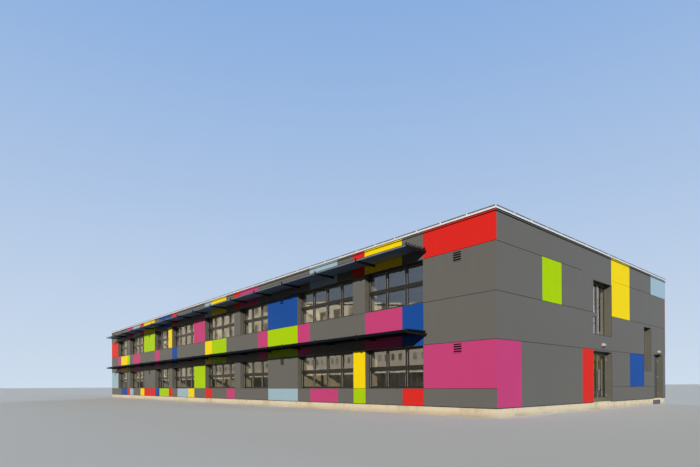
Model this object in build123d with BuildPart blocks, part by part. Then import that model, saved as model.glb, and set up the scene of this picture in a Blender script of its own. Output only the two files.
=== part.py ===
"""School building: a two-storey classroom block with a flat roof.

The long front is a row of window bays closed by coloured façade boards, with two
louvred sunshades over the windows. The end wall holds a glazed pair of doors, a
service door and two upright windows.

Every size is a millimetre of a 1:2 model, so each is half of the building's own.
The frame is +Z up with the ground at Z = 0, the long front facing -Y, and the
origin on the ground under the middle of the plan.
"""

import os

from build123d import *

os.makedirs("parts", exist_ok=True)

# Bays along each long wall, counted from its right-hand corner seen from outside
light_pitch = 595.0       # one light of a window, mullion to mullion
near_end_bay = 1700.0     # blank wall at the right-hand corner
far_end_bay = 1350.0      # blank wall at the left-hand corner
narrow_pier = 425.0       # between the two windows of one classroom
blank_bay = 1600.0        # blank wall between classrooms
centre_bay = 1050.0       # blank wall in the middle of the long wall
building_width = 9400.0   # over the façade boards

# Courses of the façade, upwards from the top of the plinth
plinth_height = 175.0
low_course = 360.0        # under the ground-floor windows
window_height = 900.0
spandrel_course = 875.0   # between the two rows of windows
top_course = 565.0        # over the upper windows

# Wall build-up, inwards from the face of the boards
board_thickness = 25.0
wall_thickness = 240.0
cross_wall_thickness = 100.0
hall_margin = 80.0        # beside the doorway, to the ends of the cross walls
window_setback = 130.0    # board face to the front of the window frames
plinth_setback = 30.0
capping_gap = 9.0         # shadow gap between the boards and the capping

# Façade boards
course_joint = 9.0        # open joint between courses
upright_joint = 4.0       # open joint between boards of one course

# Floors and roof
floor_thickness = 125.0
roof_soffit = 3200.0      # above the top of the plinth
roof_slab_thickness = 110.0
roof_cover_thickness = 100.0
parapet_upstand = 60.0    # wall top above the top of the boards
capping_sheet = 6.0
capping_overhang = 18.0
capping_inner_drop = 90.0

# Windows
frame_depth = 35.0
frame_bar = 42.0          # outer bars of a frame
mullion_width = 58.0
transom_height = 84.0
bar_depth = 22.0          # mullions and transoms, glass lies behind them
glass_thickness = 10.0
lining_sheet = 6.0        # metal lining of every reveal

# End wall, along the wall from the front corner
pink_edge = 865.0
green_left = 1690.0
green_width = 840.0
red_left = 3540.0         # the joint over the upper boards ends here too
doorway_left = 4135.0
doorway_width = 1085.0
doorway_height = 1225.0
hall_window_sill = 1625.0
hall_window_height = 1285.0
hall_transom = 505.0      # transom in the near light, above the sill of the hall window
yellow_width = 1230.0
stair_window_inset = 1290.0   # its far edge, from the back corner
stair_window_width = 570.0
stair_window_sill = 815.0
stair_window_height = 1240.0
blue_width = 1085.0
service_inset = 290.0     # service doorway, from the back corner
service_width = 720.0
service_height = 1310.0

# Doors
door_frame_bar = 30.0
door_gap = 7.0            # leaf to frame, and leaf to leaf
door_floor_gap = 8.0
leaf_thickness = 26.0
leaf_stile = 45.0
leaf_bottom_rail = 95.0
door_glass = 10.0
hinge_radius = 7.0
hinge_half = 24.0         # height of each half of a lift-off hinge
hinge_play = 0.4          # between the two halves
hinge_stand = 1.0         # knuckle clear of the leaf and the frame
hinge_leaf = 20.0         # width of a hinge plate
hinge_count = 3
hinge_end = 150.0         # first and last hinge, from the ends of the leaf
pull_length = 500.0
pull_radius = 8.0
pull_stand = 32.0
pull_height = 525.0       # centre of a door pull above the floor
fixed_side_leaf = 190.0   # bolted leaf beside the service door
lever_length = 62.0

# Sunshades
shade_overrun = 75.0      # past the outermost window edges
shade_arms = 16
shade_reach = 590.0
arm_thickness = 22.0
arm_root_depth = 60.0
arm_tip_depth = 38.0
arm_nib = 52.0            # upturned end of an arm
arm_nib_thickness = 16.0
arm_foot_width = 50.0
arm_foot_height = 75.0
arm_foot_thickness = 8.0
arm_foot_rise = 5.0       # top of the foot above the arm
upper_shade_rise = 180.0  # top of the arms above the window heads
lower_shade_rise = 245.0
blade_count = 6
blade_chord = 110.0
blade_thickness = 14.0
blade_tilt = 40.0         # outer edge lowered, in degrees
blade_first = 62.0        # centre of the first blade from the boards
blade_pitch = 92.0
blade_seat = 16.0         # centre of a blade above the top of its arm
blade_play = 0.3

# Grilles, lamps and step
grille_size = 205.0
grille_drop = 24.0        # below the course joint
grille_rim = 9.0
grille_play = 1.0         # grille to the hole in its board
grille_slats = 4
slat_thickness = 7.0
slat_rise = 26.0          # height of one slanted slat
lamp_radius = 76.0
lamp_height = 84.0
lamp_lens_radius = 56.0
lamp_lens_height = 18.0
lamp_level = 1350.0       # underside of both lamps, above the plinth
step_reach = 26.0
step_height = 130.0
step_width = 550.0

# Bays of a long wall: a number of lights for a window, a width for a blank wall
BAYS = [
    near_end_bay, 3, narrow_pier, 4, blank_bay, 3, narrow_pier, 4, centre_bay,
    4, narrow_pier, 3, blank_bay, 4, narrow_pier, 3, far_end_bay,
]

# One word a bay and one letter a board, in the order of BAYS
LOW_BOARDS = "g rgg n gppg s ggg g pggr g yssg r nnb r yggs r bbg g"
GROUND_BOARDS = "p . y . g . g . n . g . g . g . s"
SPANDREL_BOARDS = "g bpp g gggp n pgg g gnny g gggb g ggp g gppg n yyp g"
UPPER_BOARDS = "g . g . b . g . p . y . n . g . r"
TOP_BOARDS = "r gyy r gssg g gpp r gyys g gggr b bbg y rssp p ggg g"
COLOURS = {
    "g": "grey", "r": "red", "p": "pink", "y": "yellow",
    "n": "green", "b": "blue", "s": "sky",
}

# Levels
base = plinth_height
ground_sill = base + low_course
ground_head = ground_sill + window_height
upper_sill = ground_head + spandrel_course
upper_head = upper_sill + window_height
board_top = upper_head + top_course
wall_top = board_top + parapet_upstand
storey_height = window_height + spandrel_course
upper_floor = base + storey_height
shade_tops = (ground_head + lower_shade_rise, upper_head + upper_shade_rise)


def bay_spans():
    """Each bay as its low and high X on the wall and its number of lights, 0 for a blank wall."""
    widths = [size * light_pitch if isinstance(size, int) else size for size in BAYS]
    edge = sum(widths) / 2
    spans = []
    for size, width in zip(BAYS, widths):
        spans.append((edge - width, edge, size if isinstance(size, int) else 0))
        edge -= width
    return spans


bays = bay_spans()
windows = [bay for bay in bays if bay[2]]
piers = [bay for bay in bays if not bay[2]]
half_length = bays[0][1]
half_width = building_width / 2
inset = board_thickness + wall_thickness     # board face to the inside of the wall

# Wall planes: X along the wall to the right seen from outside, Y up, Z outwards
front = Plane(origin=(0, -half_width, 0), x_dir=(1, 0, 0), z_dir=(0, -1, 0))
back = Plane(origin=(0, half_width, 0), x_dir=(-1, 0, 0), z_dir=(0, 1, 0))
right = Plane(origin=(half_length, 0, 0), x_dir=(0, 1, 0), z_dir=(1, 0, 0))
left = Plane(origin=(-half_length, 0, 0), x_dir=(0, -1, 0), z_dir=(-1, 0, 0))

# Openings of the end walls as low X, high X, low Z and high Z on the wall plane
doorway = (
    doorway_left - half_width,
    doorway_left + doorway_width - half_width,
    base,
    base + doorway_height,
)
hall_window = (
    doorway[0], doorway[1],
    base + hall_window_sill, base + hall_window_sill + hall_window_height,
)
stair_window = (
    half_width - stair_window_inset - stair_window_width,
    half_width - stair_window_inset,
    base + stair_window_sill,
    base + stair_window_sill + stair_window_height,
)
service_doorway = (
    half_width - service_inset - service_width,
    half_width - service_inset,
    base,
    base + service_height,
)
right_openings = [doorway, hall_window, stair_window, service_doorway]
left_openings = [doorway, hall_window]


def patch(x0, x1, z0, z1, mode=Mode.ADD):
    """A rectangle of the current sketch between two corners."""
    with Locations(((x0 + x1) / 2, (z0 + z1) / 2)):
        Rectangle(x1 - x0, z1 - z0, mode=mode)


def block(x0, x1, y0, y1, z0, z1):
    """A box of the current part between two corners."""
    with Locations(((x0 + x1) / 2, (y0 + y1) / 2, (z0 + z1) / 2)):
        Box(x1 - x0, y1 - y0, z1 - z0)


def save(name, builder):
    builder.part.label = name
    export_step(builder.part, f"parts/{name}.step")


def make_plinth():
    """Concrete foundation beams in four lengths, set back under the boards."""
    outer_x, outer_y = half_length - plinth_setback, half_width - plinth_setback
    inner_x, inner_y = half_length - inset, half_width - inset
    end_y = inner_y - course_joint
    with BuildPart() as plinth:
        for side in (-1, 1):
            block(-outer_x, outer_x, *sorted((side * inner_y, side * outer_y)), 0, base)
            block(*sorted((side * inner_x, side * outer_x)), -end_y, end_y, 0, base)
    save("plinth_beams", plinth)


def make_floors():
    """Ground slab, upper floor and roof, each between the inner faces of the walls."""
    x, y = half_length - inset, half_width - inset
    soffit = base + roof_soffit
    roof = soffit + roof_slab_thickness
    levels = {
        "ground_slab": (0, base),
        "upper_floor_slab": (upper_floor - floor_thickness, upper_floor),
        "roof_slab": (soffit, roof),
        "roof_covering": (roof, roof + roof_cover_thickness),
    }
    for name, (low, high) in levels.items():
        with BuildPart() as slab:
            block(-x, x, -y, y, low, high)
        save(name, slab)


def make_cross_walls():
    """Cross walls beside the wide blank bays, from the long walls to the hall, two storeys."""
    inner_y = half_width - inset
    sides = [
        (1, -inner_y, doorway[0] - hall_margin),
        (-1, doorway[1] + hall_margin, inner_y),
    ]
    storeys = [(base, upper_floor - floor_thickness), (upper_floor, base + roof_soffit)]
    with BuildPart() as walls:
        for turn, y0, y1 in sides:
            for x0, x1, _ in piers[1:-1]:
                if x1 - x0 < narrow_pier + 2 * cross_wall_thickness:
                    continue
                for start in (x0, x1 - cross_wall_thickness):
                    ends = sorted((turn * start, turn * (start + cross_wall_thickness)))
                    for low, high in storeys:
                        block(*ends, y0, y1, low, high)
    save("cross_walls", walls)


def make_long_wall(name, plane):
    """Piers from plinth to parapet, and the wall panels under, between and over the windows."""
    edge = half_length - board_thickness
    behind = plane.offset(-board_thickness)
    with BuildPart() as wall_piers:
        with BuildSketch(behind):
            for x0, x1, _ in piers:
                patch(max(x0, -edge), min(x1, edge), base, wall_top)
        extrude(amount=-wall_thickness)
    save(f"{name}_wall_piers", wall_piers)
    with BuildPart() as panels:
        with BuildSketch(behind):
            for x0, x1, _ in windows:
                patch(x0, x1, base, ground_sill)
                patch(x0, x1, ground_head, upper_sill)
                patch(x0, x1, upper_head, wall_top)
        extrude(amount=-wall_thickness)
    save(f"{name}_wall_panels", panels)


def make_end_walls():
    """Piers beside the openings at full height, and the panels under and over each opening."""
    edge = half_width - inset - course_joint
    walls = [(right, right_openings), (left, left_openings)]
    with BuildPart() as wall_piers:
        for plane, openings in walls:
            with BuildSketch(plane.offset(-board_thickness)):
                start = -edge
                for x0, x1 in sorted({(o[0], o[1]) for o in openings}) + [(edge, edge)]:
                    patch(start, x0, base, wall_top)
                    start = x1
            extrude(amount=-wall_thickness)
    save("end_wall_piers", wall_piers)
    with BuildPart() as panels:
        for plane, openings in walls:
            with BuildSketch(plane.offset(-board_thickness)):
                for x0, x1 in sorted({(o[0], o[1]) for o in openings}):
                    bottom = base
                    for _, _, low, high in sorted(o for o in openings if o[0] == x0):
                        if low > bottom:
                            patch(x0, x1, bottom, low)
                        bottom = high
                    patch(x0, x1, bottom, wall_top)
            extrude(amount=-wall_thickness)
    save("end_wall_panels", panels)


def course_boards(words, low, high):
    """Boards of one course as colour and corners; equal neighbours in a bay are one board."""
    boards = []
    for (x0, x1, _), word in zip(bays, words.split()):
        pitch = (x1 - x0) / len(word)
        first = 0
        for i in range(1, len(word) + 1):
            if i == len(word) or word[i] != word[first]:
                boards.append((word[first], x1 - i * pitch, x1 - first * pitch, low, high))
                first = i
    return boards


def long_wall_boards():
    courses = [
        (LOW_BOARDS, base, ground_sill),
        (GROUND_BOARDS, ground_sill, ground_head),
        (SPANDREL_BOARDS, ground_head, upper_sill),
        (UPPER_BOARDS, upper_sill, upper_head),
        (TOP_BOARDS, upper_head, board_top),
    ]
    return [board for course in courses for board in course_boards(*course)]


def end_wall_boards():
    """Boards of an end wall as colour and corners; the openings are cut out of them."""
    start, stop = board_thickness - half_width, half_width - board_thickness
    pink, green0, green1, red = (
        at - half_width
        for at in (pink_edge, green_left, green_left + green_width, red_left)
    )
    door0, door1 = doorway[0], doorway[1]
    yellow1 = door1 + yellow_width
    blue0 = stair_window[0] - blue_width
    stair0, stair1 = stair_window[0], stair_window[1]
    service0, service1 = service_doorway[0], service_doorway[1]
    return [
        # ground storey, front of the doorway
        ("p", start, pink, base, ground_head),
        ("g", pink, green1, base, ground_head),
        ("g", green1, red, base, ground_head),
        ("r", red, door0, base, ground_head),
        ("g", door0, door1, base, ground_head),
        # ground storey, behind the doorway
        ("g", door1, blue0, base, ground_sill),
        ("g", door1, blue0, ground_sill, ground_head),
        ("g", blue0, service0, base, ground_sill),
        ("b", blue0, stair0, ground_sill, ground_head),
        ("g", stair0, stair1, ground_sill, ground_head),
        ("g", stair1, service0, ground_sill, ground_head),
        ("g", service1, stop, base, ground_head),
        # spandrel course
        ("g", start, green0, ground_head, upper_sill),
        ("g", green0, red, ground_head, upper_sill),
        ("g", red, blue0, ground_head, upper_sill),
        ("g", blue0, stair0, ground_head, upper_sill),
        ("g", stair0, stair1, ground_head, upper_sill),
        ("g", stair1, stop, ground_head, upper_sill),
        # upper storey
        ("g", start, green0, upper_sill, upper_head),
        ("n", green0, green1, upper_sill, upper_head),
        ("g", green1, red, upper_sill, upper_head),
        ("g", red, door0, upper_sill, board_top),
        ("g", door0, door1, upper_sill, board_top),
        ("y", door1, yellow1, upper_sill, upper_head),
        ("g", yellow1, stair1, upper_sill, upper_head),
        ("g", stair1, stop, upper_sill, upper_head),
        # top course
        ("g", start, green1, upper_head, board_top),
        ("g", green1, red, upper_head, board_top),
        ("y", door1, yellow1, upper_head, board_top),
        ("g", yellow1, stair1, upper_head, board_top),
        ("s", stair1, stop, upper_head, board_top),
    ]


def make_boards():
    """Façade boards of all four walls, one node for each colour."""
    half = grille_size / 2 + grille_play
    holes = [(x - half, x + half, z - half, z + half) for x, z in grille_centres()]
    walls = [
        (front, long_wall_boards(), holes),
        (back, long_wall_boards(), holes),
        (right, end_wall_boards(), right_openings),
        (left, end_wall_boards(), left_openings),
    ]
    dx, dz = upright_joint / 2, course_joint / 2
    for letter, colour in COLOURS.items():
        with BuildPart() as boards:
            for plane, wall_boards, openings in walls:
                chosen = [board[1:] for board in wall_boards if board[0] == letter]
                if not chosen:
                    continue
                with BuildSketch(plane):
                    for x0, x1, low, high in chosen:
                        patch(x0 + dx, x1 - dx, low + dz, high - dz)
                    for x0, x1, low, high in openings:
                        if plane in (right, left):
                            x0, x1, low, high = x0 - dx, x1 + dx, low - dz, high + dz
                        patch(x0, x1, low, high, Mode.SUBTRACT)
                extrude(amount=-board_thickness)
        save(f"boards_{colour}", boards)


def long_wall_openings():
    """Window openings of a long wall as low X, high X, low Z and high Z."""
    return [
        (x0, x1, low, low + window_height)
        for low in (ground_sill, upper_sill) for x0, x1, _ in windows
    ]


def window_unit(width, height, mullions=(), transom=None, transom_end=None):
    """A window frame in the XY plane, facing +Z, with its low corner at the origin.

    mullions are the centres of the uprights. The transom runs from the low X side to
    transom_end, or right across.
    """
    inner_x, inner_z = width - frame_bar, height - frame_bar
    with BuildPart() as unit:
        with BuildSketch():
            patch(0, width, 0, height)
            patch(frame_bar, inner_x, frame_bar, inner_z, Mode.SUBTRACT)
        extrude(amount=-frame_depth)
        if mullions:
            with BuildSketch():
                for x in mullions:
                    patch(x - mullion_width / 2, x + mullion_width / 2, frame_bar, inner_z)
                if transom:
                    end = transom_end or inner_x
                    low, high = transom - transom_height / 2, transom + transom_height / 2
                    patch(frame_bar, end, low, high)
            extrude(amount=-bar_depth)
    return unit


def place(plane, x, z, setback=0.0):
    """A place on a wall plane, as far behind it as the setback."""
    return plane.offset(-setback).location * Location((x, z, 0))


def long_wall_units(plane):
    """Window units of a long wall, each with the places of its copies."""
    units = []
    for lights in (3, 4):
        unit = window_unit(
            lights * light_pitch, window_height,
            [i * light_pitch for i in range(1, lights)], window_height / 2,
        )
        places = [
            place(plane, x0, sill, window_setback)
            for sill in (ground_sill, upper_sill)
            for x0, _, count in windows if count == lights
        ]
        units.append((unit, places))
    return units


def end_wall_units():
    """Window units of the two end walls. The left one has a fixed screen for its doorway."""
    middle = doorway_width / 2
    hall = window_unit(
        doorway_width, hall_window_height, [middle], hall_transom, middle,
    )
    stair = window_unit(stair_window_width, stair_window_height)
    screen = window_unit(doorway_width, doorway_height, [middle])
    return [
        (hall, [place(w, hall_window[0], hall_window[2], window_setback) for w in (left, right)]),
        (stair, [place(right, stair_window[0], stair_window[2], window_setback)]),
        (screen, [place(left, doorway[0], doorway[2], window_setback)]),
    ]


def make_windows():
    """Frames, each with one sheet of glass seated behind its bars."""
    long_openings = long_wall_openings()
    sets = {
        "front_window": (long_wall_units(front), [(front, long_openings)]),
        "back_window": (long_wall_units(back), [(back, long_openings)]),
        "end_window": (
            end_wall_units(),
            [(right, [hall_window, stair_window]), (left, [hall_window, doorway])],
        ),
    }
    for name, (units, walls) in sets.items():
        with BuildPart() as frames:
            for unit, places in units:
                with Locations(*places):
                    add(unit.part)
        save(f"{name}_frames", frames)
        with BuildPart() as glass:
            for plane, openings in walls:
                with BuildSketch(plane.offset(-window_setback - bar_depth)):
                    for x0, x1, low, high in openings:
                        patch(
                            x0 + frame_bar, x1 - frame_bar,
                            low + frame_bar, high - frame_bar,
                        )
                extrude(amount=-glass_thickness)
        save(f"{name}_glass", glass)


def make_linings():
    """Folded metal lining of each reveal, from the board face back to the frame."""
    walls = [
        (front, long_wall_openings()), (back, long_wall_openings()),
        (right, right_openings), (left, left_openings),
    ]
    with BuildPart() as linings:
        for plane, openings in walls:
            with BuildSketch(plane):
                for opening in openings:
                    patch(*opening)
                for x0, x1, low, high in openings:
                    opens_as_door = plane is right and low == base
                    bottom = low if opens_as_door else low + lining_sheet
                    patch(
                        x0 + lining_sheet, x1 - lining_sheet,
                        bottom, high - lining_sheet, Mode.SUBTRACT,
                    )
            extrude(amount=-window_setback)
    save("reveal_linings", linings)


def blade_points():
    """Section of a sunshade blade: flat below, arched above, outer edge at +X."""
    half, rise, drop = blade_chord / 2, blade_thickness * 0.6, -blade_thickness * 0.4
    return [
        (-half, 0), (-half * 0.75, drop), (half * 0.75, drop), (half, 0),
        (half * 0.4, rise), (-half * 0.5, rise),
    ]


def make_sunshades():
    """Notched arms on wall plates, and blades seated in the notches."""
    start, stop = windows[-1][0] - shade_overrun, windows[0][1] + shade_overrun
    spacing = (stop - start - arm_thickness) / (shade_arms - 1)
    # Side plane: X outwards from the boards, Y up, Z along the wall
    side = Plane(origin=(0, -half_width, 0), x_dir=(0, -1, 0), z_dir=(-1, 0, 0))
    tip = shade_reach - arm_nib_thickness
    centres = [
        (blade_first + i * blade_pitch, top + blade_seat)
        for top in shade_tops for i in range(blade_count)
    ]
    with BuildSketch() as blade:
        with BuildLine():
            Polyline(*blade_points(), close=True)
        make_face()
    with BuildSketch() as notch:
        add(blade.sketch)
        offset(amount=blade_play, kind=Kind.INTERSECTION, mode=Mode.REPLACE)
    with BuildPart() as pair:
        with BuildSketch(side.offset(-arm_thickness / 2)):
            for top in shade_tops:
                with BuildLine():
                    Polyline(
                        (0, top - arm_root_depth),
                        (tip, top - arm_tip_depth),
                        (shade_reach, top - arm_tip_depth + arm_nib_thickness),
                        (shade_reach, top + arm_nib),
                        (tip, top + arm_nib),
                        (tip, top),
                        (0, top),
                        close=True,
                    )
                make_face()
            with Locations(*centres):
                add(notch.sketch, rotation=-blade_tilt, mode=Mode.SUBTRACT)
        extrude(amount=arm_thickness)
        with BuildSketch(front):
            for top in shade_tops:
                with Locations((0, top + arm_foot_rise - arm_foot_height / 2)):
                    Rectangle(arm_foot_width, arm_foot_height)
        extrude(amount=arm_foot_thickness)
    with BuildPart() as arms:
        with Locations(((start + stop) / 2, 0, 0)):
            with GridLocations(spacing, 0, shade_arms, 1):
                add(pair.part)
    save("sunshade_arms", arms)
    with BuildPart() as blades:
        with BuildSketch(side.offset(-stop)):
            with Locations(*centres):
                add(blade.sketch, rotation=-blade_tilt)
        extrude(amount=stop - start)
    save("sunshade_blades", blades)


def make_capping():
    """Folded capping over the parapet in four mitred lengths."""
    lengths = []
    fascia = board_top + capping_gap
    for plane, half in (
        (front, half_length), (right, half_width), (back, half_length), (left, half_width),
    ):
        # Section seen from the left end of the wall: X outwards, Y up
        section = Plane(origin=plane.origin, x_dir=plane.z_dir, z_dir=-plane.x_dir)
        outer, inner = capping_overhang, -inset - capping_sheet
        with BuildPart() as length:
            with BuildSketch(section.offset(-half - outer)):
                patch(inner, outer, fascia, wall_top + capping_sheet)
                patch(
                    inner + capping_sheet, outer - capping_sheet,
                    fascia, wall_top, Mode.SUBTRACT,
                )
                patch(inner, inner + capping_sheet, wall_top - capping_inner_drop, wall_top)
            extrude(amount=2 * (half + outer))
            # A 45 degree cut at each end, half a joint short of the corner
            for end in (-1, 1):
                corner = (end * (half + outer - upright_joint / 2), 0, outer)
                cut = Plane(
                    origin=plane.from_local_coords(Vector(*corner)),
                    x_dir=(0, 0, 1),
                    z_dir=end * plane.x_dir + plane.z_dir * -1,
                )
                split(bisect_by=cut, keep=Keep.BOTTOM)
        lengths.append(length)
    with BuildPart() as capping:
        for length in lengths:
            add(length.part)
    save("parapet_capping", capping)


def grille_centres():
    """Grilles of a long wall: in each wide blank bay, under two of the course joints."""
    drop = grille_drop + grille_size / 2
    return [
        ((x0 + x1) / 2, head - drop)
        for x0, x1, _ in piers if x1 - x0 > centre_bay
        for head in (ground_head, upper_head)
    ]


def make_grilles():
    """Ventilation grilles flush in their boards: a rim with slanted slats."""
    half = grille_size / 2
    inner = half - grille_rim
    pitch = 2 * inner / grille_slats
    with BuildPart() as unit:
        with BuildSketch():
            Rectangle(grille_size, grille_size)
            Rectangle(2 * inner, 2 * inner, mode=Mode.SUBTRACT)
        extrude(amount=-board_thickness)
        # Slats slope down and outwards, seen from the side
        with BuildSketch(Plane.YZ.offset(-inner)):
            for i in range(grille_slats):
                low = -inner + i * pitch + (pitch - slat_thickness - slat_rise) / 2
                with BuildLine():
                    Polyline(
                        (low, 0), (low + slat_thickness, 0),
                        (low + slat_thickness + slat_rise, -board_thickness),
                        (low + slat_rise, -board_thickness),
                        close=True,
                    )
                make_face()
        extrude(amount=2 * inner)
    with BuildPart() as grilles:
        with Locations(*[place(w, *at) for w in (front, back) for at in grille_centres()]):
            add(unit.part)
    save("vent_grilles", grilles)


def make_lamps():
    """Half-dome bulkhead lamps over the two doors, each with a lens under its rim."""
    with BuildPart() as lamps:
        for x0, x1, _, _ in (doorway, service_doorway):
            at = right.from_local_coords(((x0 + x1) / 2, base + lamp_level, 0))
            section = Plane(origin=at, x_dir=(0, 1, 0), z_dir=(1, 0, 0))
            with BuildSketch(section) as outline:
                with BuildLine():
                    rim = lamp_lens_height
                    Polyline(
                        (0, lamp_height), (0, 0), (lamp_lens_radius, 0),
                        (lamp_lens_radius, rim), (lamp_radius, rim),
                    )
                    EllipticalCenterArc(
                        (0, rim), lamp_radius, lamp_height - rim,
                        start_angle=0, arc_size=90,
                    )
                make_face()
            revolve(
                outline.sketch, axis=Axis(at, (0, 0, 1)), revolution_arc=-180,
            )
    save("wall_lamps", lamps)


def hinge_heights(low, high):
    first, last = low + hinge_end, high - hinge_end
    step = (last - first) / (hinge_count - 1)
    return [first + i * step for i in range(hinge_count)]


def make_hinge_half(x, face, heights, towards, upper):
    """Knuckles and plates of one half of the hinges, added to the current part.

    x is the place of the axis along the wall, face the X of the outer face of the leaf,
    and towards +1 or -1 the side on which the plate lies.
    """
    axis = face + hinge_stand + hinge_radius
    for height in heights:
        low = height + hinge_play / 2 if upper else height - hinge_play / 2 - hinge_half
        with BuildSketch(Plane.XY.offset(low)) as outline:
            with Locations((axis, x)):
                Circle(hinge_radius)
            with Locations(((face + axis) / 2, x + towards * hinge_leaf / 2)):
                Rectangle(axis - face, hinge_leaf)
            with Locations((face, x)):
                Rectangle(2 * hinge_stand, 2 * hinge_radius, mode=Mode.SUBTRACT)
        extrude(outline.sketch, amount=hinge_half)


def make_doors():
    """Frames, leaves, glass, hinges and handles of the doors in the right end wall."""
    face = half_length - window_setback        # outer face of frames and leaves
    inside = face - leaf_thickness
    door_plane = right.offset(-window_setback)
    side_gap = door_frame_bar + door_gap
    top_gap = door_frame_bar + door_gap
    x0, x1, low, high = doorway
    middle = (x0 + x1) / 2
    leaf_low, leaf_high = low + door_floor_gap, high - top_gap
    heights = hinge_heights(leaf_low, leaf_high)
    axes = {
        "left": x0 + door_frame_bar + door_gap / 2,
        "right": x1 - door_frame_bar - door_gap / 2,
    }
    spans = {
        "left": (x0 + side_gap, middle - door_gap / 2),
        "right": (middle + door_gap / 2, x1 - side_gap),
    }

    # Service doorway: a bolted side leaf on the near side, the working leaf beyond it
    s0, s1, s_low, s_high = service_doorway
    s_leaf_low, s_leaf_high = s_low + door_floor_gap, s_high - top_gap
    s_leaf = (s0 + side_gap + fixed_side_leaf, s1 - side_gap)
    s_axis = s1 - door_frame_bar - door_gap / 2
    s_heights = hinge_heights(s_leaf_low, s_leaf_high)

    with BuildPart() as frames:
        with BuildSketch(door_plane):
            for a, b, bottom, top in (doorway, service_doorway):
                head = top - door_frame_bar
                patch(a, b, head, top)
                patch(a, a + door_frame_bar, bottom, head - upright_joint)
                patch(b - door_frame_bar, b, bottom, head - upright_joint)
            patch(
                s0 + door_frame_bar + upright_joint, s_leaf[0] - door_gap,
                s_low, s_high - door_frame_bar - upright_joint,
            )
        extrude(amount=-frame_depth)
    save("door_frames", frames)

    with BuildPart() as frame_hinges:
        make_hinge_half(axes["left"], face, heights, -1, False)
        make_hinge_half(axes["right"], face, heights, 1, False)
        make_hinge_half(s_axis, face, s_heights, 1, False)
    save("door_frame_hinges", frame_hinges)

    for side, towards in (("left", 1), ("right", -1)):
        a, b = spans[side]
        stile = b - leaf_stile / 2 if side == "left" else a + leaf_stile / 2
        hole = (
            a + leaf_stile, b - leaf_stile,
            leaf_low + leaf_bottom_rail, leaf_high - leaf_stile,
        )
        with BuildPart() as leaf:
            with BuildSketch(door_plane):
                patch(a, b, leaf_low, leaf_high)
                patch(*hole, Mode.SUBTRACT)
            extrude(amount=-leaf_thickness)
        save(f"main_door_{side}_leaf", leaf)
        with BuildPart() as glass:
            centre = (face + inside) / 2
            block(centre - door_glass / 2, centre + door_glass / 2, *hole)
        save(f"main_door_{side}_glass", glass)
        with BuildPart() as hinges:
            make_hinge_half(axes[side], face, heights, towards, True)
        save(f"main_door_{side}_hinges", hinges)
        with BuildPart() as pull:
            make_pull(face, stile, base + pull_height)
        save(f"main_door_{side}_pull", pull)

    with BuildPart() as service_leaf:
        block(inside, face, *s_leaf, s_leaf_low, s_leaf_high)
    save("service_door_leaf", service_leaf)
    with BuildPart() as service_hinges:
        make_hinge_half(s_axis, face, s_heights, -1, True)
    save("service_door_hinges", service_hinges)
    with BuildPart() as lever:
        make_lever(face, s_leaf[0] + leaf_stile / 2, base + pull_height)
    save("service_door_handle", lever)


def make_pull(face, y, z):
    """A round pull bar on two stand-offs."""
    with BuildSketch(Plane.XY.offset(z - pull_length / 2)) as bar:
        with Locations((face + pull_stand, y)):
            Circle(pull_radius)
    extrude(bar.sketch, amount=pull_length)
    with BuildSketch(Plane.YZ.offset(face)) as posts:
        with Locations((y, z)):
            with GridLocations(0, pull_length * 0.7, 1, 2):
                Circle(pull_radius * 0.8)
    extrude(posts.sketch, amount=pull_stand)


def make_lever(face, y, z):
    """A lever handle on a round rose."""
    with BuildSketch(Plane.YZ.offset(face)) as rose:
        with Locations((y, z)):
            Circle(pull_radius * 2)
    extrude(rose.sketch, amount=pull_radius)
    with BuildSketch(Plane.YZ.offset(face)) as neck:
        with Locations((y, z)):
            Circle(pull_radius * 0.8)
    extrude(neck.sketch, amount=pull_stand)
    with BuildSketch(Plane.YZ.offset(face + pull_stand - pull_radius)) as grip:
        with Locations((y + lever_length / 2, z)):
            SlotOverall(lever_length + 2 * pull_radius, 2 * pull_radius)
    extrude(grip.sketch, amount=pull_radius)


def make_step():
    """Dark step block under the service door, standing just proud of the plinth."""
    x = half_length - plinth_setback
    y0 = service_doorway[0] - door_frame_bar
    with BuildPart() as step:
        block(x, x + step_reach, y0, y0 + step_width, 0, step_height)
    save("service_step", step)


make_plinth()
make_floors()
make_long_wall("front", front)
make_long_wall("back", back)
make_end_walls()
make_cross_walls()
make_boards()
make_windows()
make_linings()
make_sunshades()
make_capping()
make_grilles()
make_lamps()
make_doors()
make_step()
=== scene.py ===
"""School building with coloured façade boards, sunshades and a flat roof, 1:2 scale.

The CAD frame gives every wall, board, window and door. This script adds what CAD leaves out,
and all finishes. Two formulas, besides plain boxes, make the new pieces:

- profile run:  P(s, t) = A + s (B - A) + x(t) U + y(t) V, a closed section (x, y) carried from
  A to B along a straight path, with U and V square to the path, and a cap on each end.
- turned form:  P(a, t) = C + r(t) (cos a U + sin a V) + h(t) W, a profile (r, h) turned about
  the axis W through C, closed to a point where r is 0.

Lengths are metres of the model, +Z is up and the long front faces -Y.
"""

# %% [markdown]
# # 1. The fixed frame
# The walls, boards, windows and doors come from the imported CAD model. Loading it first means
# that every new piece can take its place from a CAD node's box instead of from a guess.

import math

import bpy
import numpy as np
from mathutils import Euler, Matrix, Vector


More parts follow.
